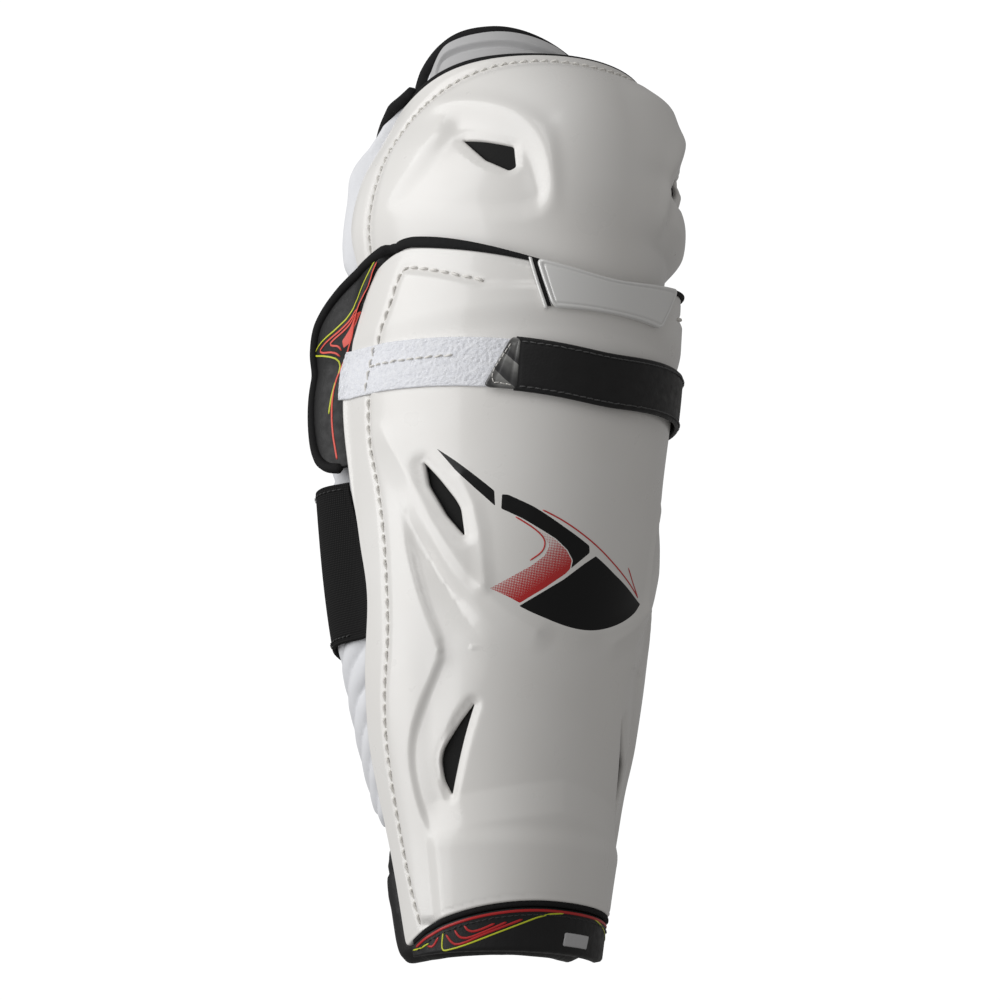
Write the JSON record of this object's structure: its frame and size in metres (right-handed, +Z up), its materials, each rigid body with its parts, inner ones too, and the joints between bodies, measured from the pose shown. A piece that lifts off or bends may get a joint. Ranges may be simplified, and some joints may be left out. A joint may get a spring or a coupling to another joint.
{
  "type": "hockey shin guard",
  "caption": "Hard-shell hockey shin guard for a right leg: shin shell, tilting knee cap, thigh flap, calf wings and pads, and two wrap straps.",
  "frame": {"origin": "on the leg's axis, level with the flat lower edge of the ankle pad", "axes": "+Z up the leg, -Y the front of the shin, -X the outer (lateral) side of a right leg"},
  "size_m": [0.1917, 0.2023, 0.4785],
  "materials": {
    "shell_white": "glossy injection-moulded polypropylene, warm white",
    "badge_silver": "satin silver-white coated plate",
    "black_knit": "black knitted polyester and elastic",
    "black_vinyl": "black synthetic leather with printed line graphics",
    "white_fabric": "white fabric over moulded foam",
    "foam_grey": "black fabric-faced EVA foam",
    "loop_pile": "white brushed loop pile",
    "hook_tape": "black nylon hook tape",
    "tab_grey": "dark grey translucent moulded rubber",
    "stiffener_black": "black polyethylene sheet"
  },
  "bodies": {
    "shin": {"shin_shell": "shell_white", "shell_top_binding": "black_knit", "shell_bottom_binding": "black_knit", "front_badge": "badge_silver", "shin_foam": "foam_grey", "shin_liner": "black_knit", "ankle_pad": "black_knit", "ankle_cuff": "black_vinyl", "lateral_anchor_band": "black_knit", "medial_anchor_band": "black_knit", "upper_loop_strip": "loop_pile", "lower_loop_patch": "loop_pile", "lateral_gusset": "black_vinyl", "medial_gusset": "black_vinyl"},
    "knee": {"knee_shell": "shell_white", "knee_top_binding": "black_knit", "knee_foam": "foam_grey", "knee_liner": "black_knit", "knee_ring_pad": "foam_grey", "knee_lateral_flap": "white_fabric", "knee_medial_flap": "white_fabric"},
    "thigh_guard": {"thigh_pad": "white_fabric", "thigh_binding": "black_knit", "thigh_insert": "shell_white", "thigh_liner": "black_knit"},
    "lateral_wing": {"lateral_wing_shell": "stiffener_black", "lateral_wing_pad": "black_vinyl", "lateral_wing_binding": "black_knit", "lateral_calf_pad": "white_fabric", "upper_strap_rear": "black_knit", "lower_strap_rear": "black_knit"},
    "medial_wing": {"medial_wing_shell": "stiffener_black", "medial_wing_pad": "black_vinyl", "medial_wing_binding": "black_knit", "medial_calf_pad": "white_fabric"},
    "upper_strap": {"upper_strap_front": "black_knit", "upper_strap_hook": "hook_tape", "upper_strap_tab": "tab_grey"},
    "lower_strap": {"lower_strap_front": "black_knit", "lower_strap_hook": "hook_tape", "lower_strap_tab": "tab_grey"}
  },
  "joints": [
    {"name": "knee_flex", "type": "hinge", "parent": "shin", "child": "knee", "pos_m": [0, 0.01052, 0.35048], "axis": [1, 0, 0], "range_deg": [-5, 12]},
    {"name": "thigh_guard_rock", "type": "hinge", "parent": "knee", "child": "thigh_guard", "pos_m": [0, -0.05262, 0.43152], "axis": [1, 0, 0], "range_deg": [-15, 8]},
    {"name": "lateral_wing_open", "type": "hinge", "parent": "shin", "child": "lateral_wing", "pos_m": [-0.0863, 0.03263, 0.28733], "axis": [-0.117, 0.0132, 0.993], "range_deg": [0, 39]},
    {"name": "medial_wing_open", "type": "hinge", "parent": "shin", "child": "medial_wing", "pos_m": [0.0863, 0.03263, 0.28733], "axis": [0.117, 0.0132, 0.993], "range_deg": [-20, 0]},
    {"name": "upper_strap_peel", "type": "hinge", "parent": "lateral_wing", "child": "upper_strap", "pos_m": [0.09841, 0.05704, 0.29627], "axis": [0, 0, 1], "range_deg": [0, 110]},
    {"name": "lower_strap_peel", "type": "hinge", "parent": "lateral_wing", "child": "lower_strap", "pos_m": [0.09009, 0.05862, 0.19997], "axis": [0.1256, 0.0147, 0.992], "range_deg": [0, 110]}
  ],
  "couplings": [
    {"joint": "medial_wing_open", "follows": "lateral_wing_open", "ratio": -0.5},
    {"joint": "upper_strap_peel", "follows": "lateral_wing_open", "ratio": 2.8},
    {"joint": "lower_strap_peel", "follows": "lateral_wing_open", "ratio": 2.8}
  ]
}
